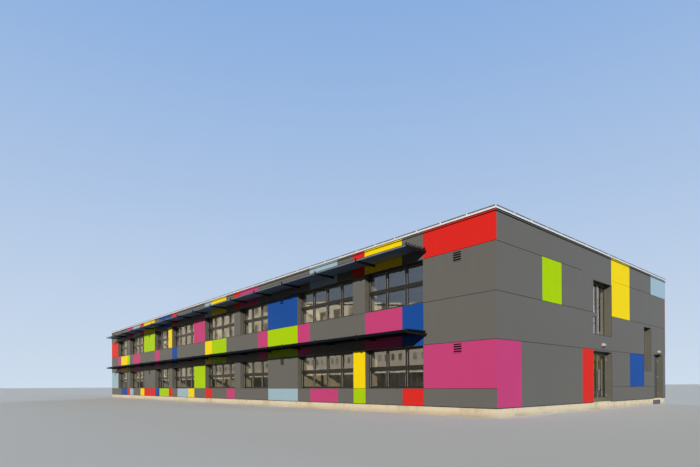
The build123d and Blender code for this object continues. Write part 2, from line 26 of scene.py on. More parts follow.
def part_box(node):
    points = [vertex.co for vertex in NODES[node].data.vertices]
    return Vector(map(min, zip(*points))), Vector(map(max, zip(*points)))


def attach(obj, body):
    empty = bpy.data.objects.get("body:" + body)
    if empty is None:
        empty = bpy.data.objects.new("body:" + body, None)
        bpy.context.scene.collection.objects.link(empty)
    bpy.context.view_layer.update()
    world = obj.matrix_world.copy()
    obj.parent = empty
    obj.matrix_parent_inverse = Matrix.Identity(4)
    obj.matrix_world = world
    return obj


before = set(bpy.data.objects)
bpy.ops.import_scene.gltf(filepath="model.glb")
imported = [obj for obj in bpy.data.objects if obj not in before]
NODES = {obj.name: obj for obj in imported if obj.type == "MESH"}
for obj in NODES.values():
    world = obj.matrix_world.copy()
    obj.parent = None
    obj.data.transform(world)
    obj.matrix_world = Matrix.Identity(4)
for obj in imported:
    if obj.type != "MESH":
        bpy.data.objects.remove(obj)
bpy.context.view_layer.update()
scene = bpy.context.scene
scene.view_settings.view_transform = "Standard"

# %% [markdown]
# # 2. Light and camera
# Low sun stands before the corner, about 20 degrees up, and lights the long wall and the end
# wall alike. One sun lamp gives that light and the crisp shadow under each sunshade, a weak
# wide one lifts the end wall, another the two far sides, and a faint sky fills the rest. The
# sum is set so that a colour on the long wall renders about as it is written.

# %% Sun and fill lamps
SUN_FROM = (1.0, -1.22, 0.58)
SUN_STRENGTH = 3.78
SUN_COLOR = (1.0, 0.955, 0.87)
FILL_FROM = (1.0, 0.25, 0.35)
FILL_STRENGTH = 0.74
FILL_COLOR = (0.55, 0.78, 1.0)
BACK_FROM = (-1.0, 0.9, 0.45)
BACK_STRENGTH = 1.1
SUN_SPREAD, FILL_SPREAD = 0.6, 20.0


def sun_lamp(name, direction_from, strength, spread, color):
    """A lamp of parallel light; its -Z is turned away from the side it comes from."""
    data = bpy.data.lights.new(name, "SUN")
    data.energy = strength
    data.angle = math.radians(spread)
    data.color = color
    lamp = bpy.data.objects.new(name, data)
    scene.collection.objects.link(lamp)
    lamp.rotation_euler = Vector(direction_from).to_track_quat("Z", "Y").to_euler()


sun_lamp("key_light", SUN_FROM, SUN_STRENGTH, SUN_SPREAD, SUN_COLOR)
sun_lamp("fill_light", FILL_FROM, FILL_STRENGTH, FILL_SPREAD, FILL_COLOR)
sun_lamp("back_light", BACK_FROM, BACK_STRENGTH, FILL_SPREAD, FILL_COLOR)
print("lamps", len(bpy.data.lights), "sun from", SUN_FROM)

# %% World
SKY_LIGHT = (0.80, 0.90, 1.0, 1.0)
SKY_STRENGTH = 0.025
BACKDROP_LOW = (0.62, 0.72, 0.84, 1.0)
BACKDROP_HIGH = (0.26, 0.43, 0.74, 1.0)
BACKDROP_TOP = 0.62


def chain(tree, *steps):
    """Link the first output of each node to a named input of the next: node, name, node, ..."""
    for source, name, target in zip(steps[0::2], steps[1::2], steps[2::2]):
        output = source if isinstance(source, bpy.types.NodeSocket) else source.outputs[0]
        tree.links.new(output, target.inputs[name])


def math_node(tree, operation, *values):
    """A Math node; each value is a number or the output socket of another node."""
    node = tree.nodes.new("ShaderNodeMath")
    node.operation = operation
    for slot, value in zip(node.inputs, values):
        if isinstance(value, bpy.types.NodeSocket):
            tree.links.new(value, slot)
        else:
            slot.default_value = value
    return node.outputs[0]


def seen_ray(tree):
    """1 for rays of the camera, of gloss and through glass, 0 for light between surfaces."""
    path = tree.nodes.new("ShaderNodeLightPath")
    camera_ray, glossy_ray = path.outputs["Is Camera Ray"], path.outputs["Is Glossy Ray"]
    either = math_node(tree, "MAXIMUM", camera_ray, glossy_ray)
    return math_node(tree, "MAXIMUM", either, path.outputs["Is Transmission Ray"])


def build_world():
    """Pale light on the object; camera, gloss and glass see a plain pale blue backdrop."""
    world = bpy.data.worlds.new("pale_sky")
    scene.world = world
    world.use_nodes = True
    tree = world.node_tree
    tree.nodes.clear()
    out = tree.nodes.new("ShaderNodeOutputWorld")
    lit = tree.nodes.new("ShaderNodeBackground")
    seen = tree.nodes.new("ShaderNodeBackground")
    mix = tree.nodes.new("ShaderNodeMixShader")
    coords = tree.nodes.new("ShaderNodeTexCoord")
    height = tree.nodes.new("ShaderNodeSeparateXYZ")
    ramp = tree.nodes.new("ShaderNodeValToRGB")
    lit.inputs["Color"].default_value = SKY_LIGHT
    lit.inputs["Strength"].default_value = SKY_STRENGTH
    ramp.color_ramp.elements[0].color = BACKDROP_LOW
    ramp.color_ramp.elements[1].position = BACKDROP_TOP
    ramp.color_ramp.elements[1].color = BACKDROP_HIGH
    chain(tree, coords.outputs["Generated"], 0, height)
    chain(tree, height.outputs["Z"], 0, ramp, "Color", seen)
    chain(tree, seen_ray(tree), 0, mix)
    tree.links.new(lit.outputs[0], mix.inputs[1])
    tree.links.new(seen.outputs[0], mix.inputs[2])
    tree.links.new(mix.outputs[0], out.inputs[0])


build_world()
print("world", scene.world.name)

# %% Camera
CORNER = (12.83, -4.70)
CAMERA_FROM_CORNER = (4.7034, -7.5145)
EYE_HEIGHT = 0.6015
LENS = 24.247
SHIFT_Y = 0.2175
CAMERA_TURN = math.radians(49.322)
CAMERA_ROLL = math.radians(-0.33)
SENSOR_WIDTH, CLIP_FAR = 36.0, 2000.0

camera_data = bpy.data.cameras.new("view")
camera_data.lens = LENS
camera_data.sensor_width = SENSOR_WIDTH
camera_data.shift_y = SHIFT_Y
camera_data.clip_end = CLIP_FAR
camera = bpy.data.objects.new("view", camera_data)
scene.collection.objects.link(camera)
camera.location = (
    CORNER[0] + CAMERA_FROM_CORNER[0],
    CORNER[1] + CAMERA_FROM_CORNER[1],
    EYE_HEIGHT,
)
turn = Euler((math.pi / 2, 0.0, CAMERA_TURN)).to_matrix()
roll = Matrix.Rotation(CAMERA_ROLL, 3, "Z")
camera.rotation_euler = (turn @ roll).to_euler()
scene.camera = camera
print("camera at", [round(c, 3) for c in camera.location])


# %% [markdown]
# # 3. Helpers for surfaces and finishes
# One function turns arrays of points into a mesh, one carries a section along straight paths,
# one turns a profile about an axis, and one starts a material. Every later cell only decides
# shapes and numbers.

# %% Mesh helpers
def mesh_piece(name, verts, faces, material, body="building", slot=None):
    """One object from an array of points and an array of quads, riding on a CAD body."""
    mesh = bpy.data.meshes.new(name)
    mesh.from_pydata(np.asarray(verts).reshape(-1, 3).tolist(), [], np.asarray(faces).tolist())
    mesh.materials.append(material)
    mesh.update()
    piece = bpy.data.objects.new(name, mesh)
    scene.collection.objects.link(piece)
    if body is None:
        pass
    else:
        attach(piece, body)
    print(name, len(mesh.polygons), "faces")
    return piece


def profile_run(starts, ends, u_axis, v_axis, section):
    """P(s, t) = A + s (B - A) + x(t) U + y(t) V for many paths at once, with end caps.

    starts and ends are (k, 3), the axes (3,) or (k, 3), and section (n, 2), counter-clockwise
    seen against the path. Returns points and quads; n must be even for the quad caps.
    """
    starts, ends = np.atleast_2d(starts), np.atleast_2d(ends)
    u_axis = np.broadcast_to(np.asarray(u_axis, float), starts.shape)
    v_axis = np.broadcast_to(np.asarray(v_axis, float), starts.shape)
    section = np.asarray(section, float)
    n, k = len(section), len(starts)
    ring = section[:, 0, None] * u_axis[:, None] + section[:, 1, None] * v_axis[:, None]
    points = np.stack([starts[:, None] + ring, ends[:, None] + ring], 1)
    i = np.arange(n)
    j = (i + 1) % n
    sides = np.stack([i, j, n + j, n + i], 1)
    a = np.arange(n // 2 - 1)
    cap = np.stack([a, a + 1, n - 2 - a, n - 1 - a], 1)
    quads = np.concatenate([sides, cap[:, ::-1], cap + n])
    faces = quads[None] + (np.arange(k) * 2 * n)[:, None, None]
    return points.reshape(-1, 3), faces.reshape(-1, 4)


def joined(*parts):
    """Several (points, quads) pairs as one."""
    points, faces, start = [], [], 0
    for p, f in parts:
        points.append(p)
        faces.append(np.asarray(f) + start)
        start += len(p)
    return np.concatenate(points), np.concatenate(faces)


def rectangle(width, height):
    """Section of a bar: four corners, counter-clockwise, from its low corner."""
    return np.array([(0.0, 0.0), (width, 0.0), (width, height), (0.0, height)])


def boxes(low, high):
    """Many upright boxes at once from (k, 3) low and high corners."""
    low, high = np.atleast_2d(low).astype(float), np.atleast_2d(high).astype(float)
    pick = np.array([(0, 0, 0), (1, 0, 0), (1, 1, 0), (0, 1, 0),
                     (0, 0, 1), (1, 0, 1), (1, 1, 1), (0, 1, 1)])
    points = low[:, None] + pick[None] * (high - low)[:, None]
    quads = np.array([(0, 3, 2, 1), (4, 5, 6, 7), (0, 1, 5, 4),
                      (1, 2, 6, 5), (2, 3, 7, 6), (3, 0, 4, 7)])
    faces = quads[None] + (np.arange(len(low)) * 8)[:, None, None]
    return points.reshape(-1, 3), faces.reshape(-1, 4)


def turned_form(centres, radii, heights, axis, u_axis, steps):
    """P(a, t) = C + r(t) (cos a U + sin a V) + h(t) W for many centres at once.

    The profile goes from the base outwards and up to the tip, so that faces point outwards.
    """
    w, u = np.asarray(axis, float), np.asarray(u_axis, float)
    v = np.cross(w, u)
    angle = np.arange(steps) * 2 * math.pi / steps
    circle = np.cos(angle)[:, None] * u + np.sin(angle)[:, None] * v
    r, h = np.asarray(radii, float), np.asarray(heights, float)
    grid = r[:, None, None] * circle[None] + h[:, None, None] * w
    i, j = np.meshgrid(np.arange(len(r) - 1), np.arange(steps), indexing="ij")
    k = (j + 1) % steps
    quads = np.stack([i * steps + j, i * steps + k, (i + 1) * steps + k, (i + 1) * steps + j], -1)
    quads = quads.reshape(-1, 4)
    centres = np.atleast_2d(centres)
    points = centres[:, None] + grid.reshape(1, -1, 3)
    faces = quads[None] + (np.arange(len(centres)) * len(r) * steps)[:, None, None]
    return points.reshape(-1, 3), faces.reshape(-1, 4)


def about_middle(points):
    """The same points turned half a turn about the middle of the plan."""
    return points * np.array((-1.0, -1.0, 1.0))


# %% Material helpers
def new_material(name, color, roughness=0.5, metallic=0.0, specular=0.5):
    """A Principled material with its plain numbers set on its own sockets."""
    material = bpy.data.materials.new(name)
    material.use_nodes = True
    shader = material.node_tree.nodes["Principled BSDF"]
    shader.inputs["Base Color"].default_value = (*color, 1.0)
    shader.inputs["Roughness"].default_value = roughness
    shader.inputs["Metallic"].default_value = metallic
    shader.inputs["Specular IOR Level"].default_value = specular
    return material, shader


def dress(nodes, material):
    """CAD nodes whose shape is right get a better finish."""
    for node in nodes:
        for slot in NODES[node].material_slots:
            slot.material = material


def use_group(material, shader, group, values, bump, depth):
    """Place a node group in a material, set its inputs and link its outputs to the shader."""
    tree = material.node_tree
    finish = tree.nodes.new("ShaderNodeGroup")
    finish.node_tree = group
    for name, value in values.items():
        finish.inputs[name].default_value = value
    tree.links.new(finish.outputs["Color"], shader.inputs["Base Color"])
    tree.links.new(finish.outputs["Roughness"], shader.inputs["Roughness"])
    relief = tree.nodes.new("ShaderNodeBump")
    relief.inputs["Strength"].default_value = bump
    relief.inputs["Distance"].default_value = depth
    tree.links.new(finish.outputs["Height"], relief.inputs["Height"])
    tree.links.new(relief.outputs["Normal"], shader.inputs["Normal"])


def new_group(name, inputs, outputs):
    """A shader group with named sockets; f is a number and c a colour."""
    group = bpy.data.node_groups.new(name, "ShaderNodeTree")
    kinds = {"f": "NodeSocketFloat", "c": "NodeSocketColor"}
    for label, kind in inputs.items():
        group.interface.new_socket(label, in_out="INPUT", socket_type=kinds[kind])
    for label, kind in outputs.items():
        group.interface.new_socket(label, in_out="OUTPUT", socket_type=kinds[kind])
    return group, group.nodes.new("NodeGroupInput"), group.nodes.new("NodeGroupOutput")


def object_coords(tree):
    """The place on the object, in metres."""
    return tree.nodes.new("ShaderNodeTexCoord").outputs["Object"]


def normal(tree):
    """The direction that the surface faces."""
    return tree.nodes.new("ShaderNodeNewGeometry").outputs["Normal"]


def split(tree, vector):
    """The outputs X, Y and Z of a vector."""
    node = tree.nodes.new("ShaderNodeSeparateXYZ")
    tree.links.new(vector, node.inputs[0])
    return node.outputs


def noise(tree, scale, vector, detail, stretch=(1.0, 1.0, 1.0)):
    """A noise value on a stretched vector; scale is a number or a socket."""
    mapping = tree.nodes.new("ShaderNodeMapping")
    mapping.inputs["Scale"].default_value = stretch
    texture = tree.nodes.new("ShaderNodeTexNoise")
    texture.inputs["Detail"].default_value = detail
    if isinstance(scale, bpy.types.NodeSocket):
        tree.links.new(scale, texture.inputs["Scale"])
    else:
        texture.inputs["Scale"].default_value = scale
    tree.links.new(vector, mapping.inputs["Vector"])
    tree.links.new(mapping.outputs[0], texture.inputs["Vector"])
    return texture.outputs["Fac"]


def ranged(tree, value, low, high, to_low=0.0, to_high=1.0, smooth=False):
    """Map a value from one range to another, held at its ends."""
    node = tree.nodes.new("ShaderNodeMapRange")
    if smooth:
        node.interpolation_type = "SMOOTHSTEP"
    tree.links.new(value, node.inputs["Value"])
    node.inputs["From Min"].default_value = low
    node.inputs["From Max"].default_value = high
    node.inputs["To Min"].default_value = to_low
    node.inputs["To Max"].default_value = to_high
    return node.outputs[0]


def mixed(tree, factor, first, second):
    """Blend of two colours, each a socket or four numbers."""
    node = tree.nodes.new("ShaderNodeMix")
    node.data_type = "RGBA"
    for label, value in (("Factor", factor), ("A", first), ("B", second)):
        slot = next(s for s in node.inputs if s.name == label and s.enabled)
        if isinstance(value, bpy.types.NodeSocket):
            tree.links.new(value, slot)
        else:
            slot.default_value = value
    return next(s for s in node.outputs if s.enabled)


def scaled_color(tree, color, factor):
    """A colour times a value."""
    node = tree.nodes.new("ShaderNodeVectorMath")
    node.operation = "SCALE"
    tree.links.new(color, node.inputs[0])
    tree.links.new(factor, node.inputs["Scale"])
    return node.outputs[0]


def shade_color(material, share):
    """Multiply the colour that already feeds a material by a value."""
    tree = material.node_tree
    slot = tree.nodes["Principled BSDF"].inputs["Base Color"]
    tree.links.new(scaled_color(tree, slot.links[0].from_socket, share), slot)


# %% [markdown]
# # 4. Floor and reflector cards
# The floor is pale to the eye and to gloss, and dull to light that bounces, so that the
# undersides stay as dark as over plain ground. What the glass mirrors matters more than the
# glass itself. Cream cards stand far before the long wall, the tall one with a sloping top and
# a dark line along it, and a darker card along the ground. Two small ones stand where the end
# wall mirrors them, as a studio sets reflectors round a shiny object. Only gloss sees them, so
# they light nothing and cast no shadow.

# %% Floor
FLOOR_SIZE = 600.0
FLOOR_SEEN = (0.72, 0.73, 0.74, 1.0)
FLOOR_LIT = (0.065, 0.06, 0.056, 1.0)
FLOOR_ROUGHNESS, FLOOR_SPECULAR = 0.9, 0.2
floor_material, floor_shader = new_material(
    "pale_floor", FLOOR_SEEN[:3], FLOOR_ROUGHNESS, specular=FLOOR_SPECULAR)
floor_tree = floor_material.node_tree
floor_color = mixed(floor_tree, seen_ray(floor_tree), FLOOR_LIT, FLOOR_SEEN)
floor_tree.links.new(floor_color, floor_shader.inputs["Base Color"])
mesh_piece(
    "floor",
    [(-FLOOR_SIZE, -FLOOR_SIZE, 0), (FLOOR_SIZE, -FLOOR_SIZE, 0),
     (FLOOR_SIZE, FLOOR_SIZE, 0), (-FLOOR_SIZE, FLOOR_SIZE, 0)],
    [(0, 1, 2, 3)],
    floor_material, body=None,
)

# %% Reflector cards
# Each row: Y, low and high X, foot at both, top at both, colour, dark panes (width, height, share)
CARDS = {
    "tall_cream_card": (-41.0, (-260.0, -18.5), (0.0, 0.0), (45.0, 10.4),
                        (2.1, 1.85, 1.35), (3.4, 3.5, 0.42)),
    "eave_card": (-40.9, (-260.0, -18.5), (43.6, 10.0), (44.0, 10.2), (0.10, 0.09, 0.08), None),
    "low_cream_card": (-40.5, (-90.0, 90.0), (2.4, 2.4), (6.0, 6.0),
                       (1.35, 1.2, 0.92), (1.25, 1.9, 0.45)),
    "low_dark_card": (-39.5, (-260.0, 90.0), (0.0, 0.0), (2.2, 2.2),
                      (0.40, 0.36, 0.28), (0.9, 9.0, 0.88)),
    "pale_east_card": (60.0, (36.0, 41.0), (5.5, 5.5), (16.0, 16.0), (2.3, 2.3, 2.75), None),
    "meadow_east_card": (60.2, (20.0, 60.0), (0.0, 0.0), (5.0, 5.0),
                         (0.85, 0.70, 0.16), (1.3, 9.0, 0.45)),
}
PANE_SHADE = 0.18
PATCH_SCALE, PATCH_RANGE, PATCH_SHARE = 0.35, (0.35, 0.6), (0.4, 0.95)


def card_material(name, color, panes):
    """Plain glow; panes (width, height, share) cut darker patches into it."""
    material = bpy.data.materials.new(name)
    material.use_nodes = True
    tree = material.node_tree
    tree.nodes.clear()
    out = tree.nodes.new("ShaderNodeOutputMaterial")
    glow = tree.nodes.new("ShaderNodeEmission")
    glow.inputs["Color"].default_value = (*color, 1.0)
    tree.links.new(glow.outputs[0], out.inputs[0])
    if panes:
        coords = object_coords(tree)
        place = split(tree, coords)
        width, height, share = panes
        inside = 1.0
        for axis, pitch in (("X", width), ("Z", height)):
            cell = math_node(tree, "FRACT", math_node(tree, "DIVIDE", place[axis], pitch))
            within = math_node(tree, "LESS_THAN", cell, share)
            inside = math_node(tree, "MULTIPLY", inside, within)
        patches = noise(tree, PATCH_SCALE, coords, detail=3.0)
        patches = ranged(tree, patches, *PATCH_RANGE, *PATCH_SHARE)
        inside = math_node(tree, "MULTIPLY", inside, patches)
        dark = tuple(PANE_SHADE * c for c in color)
        tree.links.new(mixed(tree, inside, (*color, 1.0), (*dark, 1.0)), glow.inputs["Color"])
    return material


for name, (y, (x0, x1), (low0, low1), (top0, top1), color, panes) in CARDS.items():
    card = mesh_piece(
        name, [(x0, y, low0), (x0, y, top0), (x1, y, top1), (x1, y, low1)], [(0, 1, 2, 3)],
        card_material(name, color, panes), body=None,
    )
    for kind in ("camera", "diffuse", "transmission", "volume_scatter", "shadow"):
        setattr(card, f"visible_{kind}", False)

# %% [markdown]
# # 5. Façade boards
# The boards are flat, matt and through-coloured. From board to board the tone differs a
# little, and rain leaves faint streaks and a little dust towards the ground. A shared node
# group works all that out from the place on the wall, so each colour only states its tone.

# %% Board finish group
BOARD_PITCH_X = 0.595
BOARD_PHASE_X = 11.13
BOARD_PITCH_Y = 0.855
BOARD_PHASE_Y = -4.90
COURSE_PITCH = 0.886
COURSE_PHASE = 0.08
STREAK_SCALE, STREAK_STRETCH = 2.2, (3.0, 3.0, 0.35)
STREAK_RANGE, GLOSS_RANGE = (0.3, 0.7), (0.38, 0.50)
RANDOM_SHARE, STREAK_SHARE = 0.5, 1.5
SPECK_SCALE, PIT_SCALE = 9.0, 160.0
DUST_TOP, DUST_FOOT = 0.75, 0.15
DUST_COLOR = (0.22, 0.19, 0.15, 1.0)


def board_group():
    """Colour, roughness and relief of a board from its tone and its place on the wall."""
    tree, enter, leave = new_group(
        "board_finish", {"Tone": "c", "Variation": "f", "Dust": "f"},
        {"Color": "c", "Roughness": "f", "Height": "f"},
    )
    coords = object_coords(tree)
    place = split(tree, coords)
    cell = tree.nodes.new("ShaderNodeCombineXYZ")
    for axis, phase, pitch in (("X", BOARD_PHASE_X, BOARD_PITCH_X),
                               ("Y", BOARD_PHASE_Y, BOARD_PITCH_Y),
                               ("Z", COURSE_PHASE, COURSE_PITCH)):
        steps = math_node(tree, "DIVIDE", math_node(tree, "SUBTRACT", place[axis], phase), pitch)
        tree.links.new(math_node(tree, "FLOOR", steps), cell.inputs[axis])
    random = tree.nodes.new("ShaderNodeTexWhiteNoise")
    tree.links.new(cell.outputs[0], random.inputs["Vector"])
    streaks = noise(tree, STREAK_SCALE, coords, detail=5.0, stretch=STREAK_STRETCH)
    own_tone = math_node(tree, "MULTIPLY", random.outputs["Value"], RANDOM_SHARE)
    both = math_node(tree, "ADD", own_tone, math_node(tree, "MULTIPLY", streaks, STREAK_SHARE))
    tone = math_node(tree, "MULTIPLY_ADD", math_node(tree, "SUBTRACT", both, 1.0),
                     enter.outputs["Variation"], 1.0)
    low = ranged(tree, place["Z"], DUST_TOP, DUST_FOOT)
    specks = math_node(tree, "MULTIPLY", low, noise(tree, SPECK_SCALE, coords, detail=4.0))
    dust = math_node(tree, "MULTIPLY", specks, enter.outputs["Dust"])
    color = mixed(tree, dust, scaled_color(tree, enter.outputs["Tone"], tone), DUST_COLOR)
    tree.links.new(color, leave.inputs["Color"])
    tree.links.new(ranged(tree, streaks, *STREAK_RANGE, *GLOSS_RANGE), leave.inputs["Roughness"])
    tree.links.new(noise(tree, PIT_SCALE, coords, detail=3.0), leave.inputs["Height"])
    return tree


BOARD_FINISH = board_group()

# %% Board colours
BOARD_TONES = {
    "grey": (0.154, 0.151, 0.146),
    "red": (0.770, 0.026, 0.022),
    "pink": (0.590, 0.062, 0.215),
    "yellow": (1.000, 0.740, 0.006),
    "green": (0.430, 0.680, 0.002),
    "blue": (0.012, 0.082, 0.370),
    "sky": (0.370, 0.530, 0.640),
}
BOARD_ROUGHNESS, BOARD_SPECULAR = 0.42, 0.02
BOARD_VARIATION, BOARD_DUST = 0.05, 0.08
BOARD_BUMP, BOARD_RELIEF = 0.08, 0.0004
for color, tone in BOARD_TONES.items():
    material, shader = new_material(
        f"board_{color}", tone, BOARD_ROUGHNESS, specular=BOARD_SPECULAR)
    use_group(
        material, shader, BOARD_FINISH,
        {"Tone": (*tone, 1.0), "Variation": BOARD_VARIATION, "Dust": BOARD_DUST},
        bump=BOARD_BUMP, depth=BOARD_RELIEF,
    )
    dress([f"boards_{color}"], material)
print("board colours", len(BOARD_TONES))

# %% [markdown]
# # 6. Mineral and metal finishes
# Concrete, plaster and roofing differ in colour but weather alike: soft blotches, runs that
# follow the rain, dirt near the ground and fine pits. One group does it for all of them.
# Painted and bare metals share a second group, a fine drawn grain with a little grime. The
# underside of a deep head lies in shade, so the linings are painted darker where they face down, as
# painted shade. Duct plates, lamp lenses and gaskets are small and nearly black, so a plain
# material is enough; the black of the duct plates is painted shade.

# %% Weathered mineral group
RUN_FINER, RUN_STRETCH = 3.0, (1.0, 1.0, 0.12)
GRAIN_FINER, GRAIN_RANGE, GRAIN_TONE = 40.0, (0.25, 0.75), (0.93, 1.07)
DIRT_RANGE = (0.20, 0.42)
FOOT_TALL, FOOT_RANGE, FOOT_SHARE = 0.11, (0.35, 0.65), (0.4, 1.0)
BLOTCH_RANGE, MINERAL_GLOSS = (0.3, 0.7), (0.72, 0.92)


def mineral_group():
    """Blotches, rain runs and a dirty foot over a base tone, with fine pits as relief."""
    tree, enter, leave = new_group(
        "weathered_mineral",
        {"Tone": "c", "Stain": "c", "Amount": "f", "Scale": "f", "Foot": "f"},
        {"Color": "c", "Roughness": "f", "Height": "f"},
    )
    coords = object_coords(tree)
    scale = enter.outputs["Scale"]
    blotches = noise(tree, scale, coords, detail=6.0)
    run_scale = math_node(tree, "MULTIPLY", scale, RUN_FINER)
    runs = noise(tree, run_scale, coords, detail=4.0, stretch=RUN_STRETCH)
    grain = noise(tree, math_node(tree, "MULTIPLY", scale, GRAIN_FINER), coords, detail=3.0)
    dirt = ranged(tree, math_node(tree, "MULTIPLY", blotches, runs), *DIRT_RANGE, smooth=True)
    dirt = math_node(tree, "MULTIPLY", dirt, enter.outputs["Amount"])
    low = ranged(tree, split(tree, coords)["Z"], FOOT_TALL, 0.0)
    foot = math_node(tree, "MULTIPLY", low, enter.outputs["Foot"])
    foot = math_node(tree, "MULTIPLY", foot, ranged(tree, blotches, *FOOT_RANGE, *FOOT_SHARE))
    amount = math_node(tree, "MAXIMUM", dirt, foot)
    base = scaled_color(tree, enter.outputs["Tone"], ranged(tree, grain, *GRAIN_RANGE, *GRAIN_TONE))
    tree.links.new(mixed(tree, amount, base, enter.outputs["Stain"]), leave.inputs["Color"])
    tree.links.new(ranged(tree, blotches, *BLOTCH_RANGE, *MINERAL_GLOSS), leave.inputs["Roughness"])
    tree.links.new(grain, leave.inputs["Height"])
    return tree


MINERAL = mineral_group()
MINERAL_ROUGHNESS, MINERAL_SPECULAR = 0.85, 0.25
MINERAL_BUMP, MINERAL_RELIEF = 0.35, 0.0015
# Each row: tone, stain, share of stain, scale, dirt at the foot, CAD nodes
MINERALS = {
    "plinth_concrete": ((0.80, 0.69, 0.51), (0.40, 0.32, 0.21), 0.45, 1.6, 0.8, ["plinth_beams"]),
    "cast_concrete": ((0.40, 0.39, 0.37), (0.27, 0.26, 0.25), 0.4, 0.9, 0.0,
                      ["ground_slab", "upper_floor_slab", "roof_slab"]),
    "roof_sheet": ((0.19, 0.19, 0.20), (0.11, 0.11, 0.115), 0.6, 0.5, 0.0, ["roof_covering"]),
    "wall_plaster": ((0.68, 0.63, 0.52), (0.55, 0.51, 0.43), 0.3, 0.8, 0.0,
                     ["front_wall_piers", "front_wall_panels", "back_wall_piers",
                      "back_wall_panels", "end_wall_piers", "end_wall_panels"]),
    "room_plaster": ((0.86, 0.70, 0.40), (0.70, 0.56, 0.32), 0.2, 0.8, 0.0, ["cross_walls"]),
    "dark_step": ((0.13, 0.13, 0.135), (0.08, 0.08, 0.08), 0.3, 2.5, 0.15, ["service_step"]),
}
MINERAL_FINISHES = {}
for name, (tone, stain, amount, scale, foot, nodes) in MINERALS.items():
    material, shader = new_material(name, tone, MINERAL_ROUGHNESS, specular=MINERAL_SPECULAR)
    MINERAL_FINISHES[name] = material
    use_group(
        material, shader, MINERAL,
        {"Tone": (*tone, 1.0), "Stain": (*stain, 1.0),
         "Amount": amount, "Scale": scale, "Foot": foot},
        bump=MINERAL_BUMP, depth=MINERAL_RELIEF,
    )
    dress(nodes, material)
print("mineral finishes", len(MINERALS))

# %% Metal group
DRAWN_SCALE, DRAWN_STRETCH = 60.0, (0.15, 1.0, 1.0)
DRAWN_RANGE, DRAWN_TONE, DRAWN_ROUGH = (0.3, 0.7), (0.97, 1.03), 0.14
CLOUD_SCALE, CLOUD_RANGE = 1.7, (0.4, 0.7)


def metal_group():
    """Tone with faint grime, and a drawn grain along X that moves roughness and relief."""
    tree, enter, leave = new_group(
        "drawn_metal",
        {"Tone": "c", "Grime": "f", "Rough": "f"},
        {"Color": "c", "Roughness": "f", "Height": "f"},
    )
    coords = object_coords(tree)
    grain = noise(tree, DRAWN_SCALE, coords, detail=3.0, stretch=DRAWN_STRETCH)
    clouds = noise(tree, CLOUD_SCALE, coords, detail=5.0)
    shade = math_node(tree, "MULTIPLY", ranged(tree, clouds, *CLOUD_RANGE), enter.outputs["Grime"])
    factor = math_node(tree, "SUBTRACT", ranged(tree, grain, *DRAWN_RANGE, *DRAWN_TONE), shade)
    tree.links.new(scaled_color(tree, enter.outputs["Tone"], factor), leave.inputs["Color"])
    rough = math_node(tree, "MULTIPLY_ADD", grain, DRAWN_ROUGH, enter.outputs["Rough"])
    tree.links.new(rough, leave.inputs["Roughness"])
    tree.links.new(grain, leave.inputs["Height"])
    return tree


METAL = metal_group()
METAL_BUMP, METAL_RELIEF = 0.10, 0.0003
# Each row: tone, grime, roughness, metallic, specular, CAD nodes
METALS = {
    "dark_frame": ((0.022, 0.020, 0.017), 0.10, 0.34, 0.0, 0.2,
                   ["front_window_frames", "back_window_frames"]),
    "bronze_frame": ((0.150, 0.135, 0.092), 0.10, 0.38, 0.0, 0.2,
                     ["end_window_frames", "door_frames", "main_door_left_leaf",
                      "main_door_right_leaf"]),
    "dark_lining": ((0.126, 0.120, 0.098), 0.12, 0.40, 0.0, 0.3, ["reveal_linings"]),
    "dark_steel": ((0.010, 0.010, 0.011), 0.05, 0.50, 0.0, 0.12, ["sunshade_arms"]),
    "blade_aluminium": ((0.075, 0.082, 0.094), 0.08, 0.45, 0.0, 0.05, ["sunshade_blades"]),
    "capping_metal": ((0.86, 0.87, 0.88), 0.06, 0.38, 0.0, 0.4, ["parapet_capping"]),
    "grille_metal": ((0.150, 0.147, 0.142), 0.10, 0.40, 0.0, 0.3, ["vent_grilles"]),
    "lamp_cover": ((0.42, 0.42, 0.41), 0.04, 0.30, 0.0, 0.4, ["wall_lamps"]),
    "hinge_steel": ((0.55, 0.55, 0.55), 0.10, 0.20, 1.0, 0.5,
                    ["door_frame_hinges", "main_door_left_hinges", "main_door_right_hinges",
                     "service_door_hinges", "service_door_handle"]),
    "satin_pull": ((0.22, 0.21, 0.19), 0.10, 0.42, 1.0, 0.5,
                   ["main_door_left_pull", "main_door_right_pull"]),
    "service_grey": ((0.074, 0.070, 0.058), 0.10, 0.40, 0.0, 0.4, ["service_door_leaf"]),
    "pale_bead": ((0.46, 0.44, 0.40), 0.10, 0.30, 0.0, 0.5, []),
    "rail_grey": ((0.13, 0.16, 0.21), 0.05, 0.35, 0.0, 0.4, []),
    # The drip is black as painted shade for the gap under the capping.
    "drip_painted_shade": ((0.010, 0.010, 0.012), 0.00, 0.50, 0.0, 0.2, []),
    # The strip black is the foot strips' own colour and painted shade on the opening trims.
    "strip_and_shadow_black": ((0.020, 0.020, 0.020), 0.00, 0.50, 0.0, 0.2, []),
}


def metal_finish(name, tone, grime, rough, metallic, specular):
    """A material of the metal group, for CAD nodes or for new pieces."""
    material, shader = new_material(name, tone, rough, metallic, specular)
    use_group(
        material, shader, METAL, {"Tone": (*tone, 1.0), "Grime": grime, "Rough": rough},
        bump=METAL_BUMP, depth=METAL_RELIEF,
    )
    return material


METAL_FINISHES = {}
for name, (*values, nodes) in METALS.items():
    METAL_FINISHES[name] = metal_finish(name, *values)
    dress(nodes, METAL_FINISHES[name])
print("metal finishes", len(METALS))

# %% Soffits in painted shade
SOFFIT_RANGE, SOFFIT_SHADE_SHARE = (-0.9, -0.5), 0.12
lining = METAL_FINISHES["dark_lining"]
lining_tree = lining.node_tree
down = split(lining_tree, normal(lining_tree))["Z"]
shade_color(lining, ranged(lining_tree, down, *SOFFIT_RANGE, SOFFIT_SHADE_SHARE, 1.0))
print("soffits keep", SOFFIT_SHADE_SHARE, "of their colour")

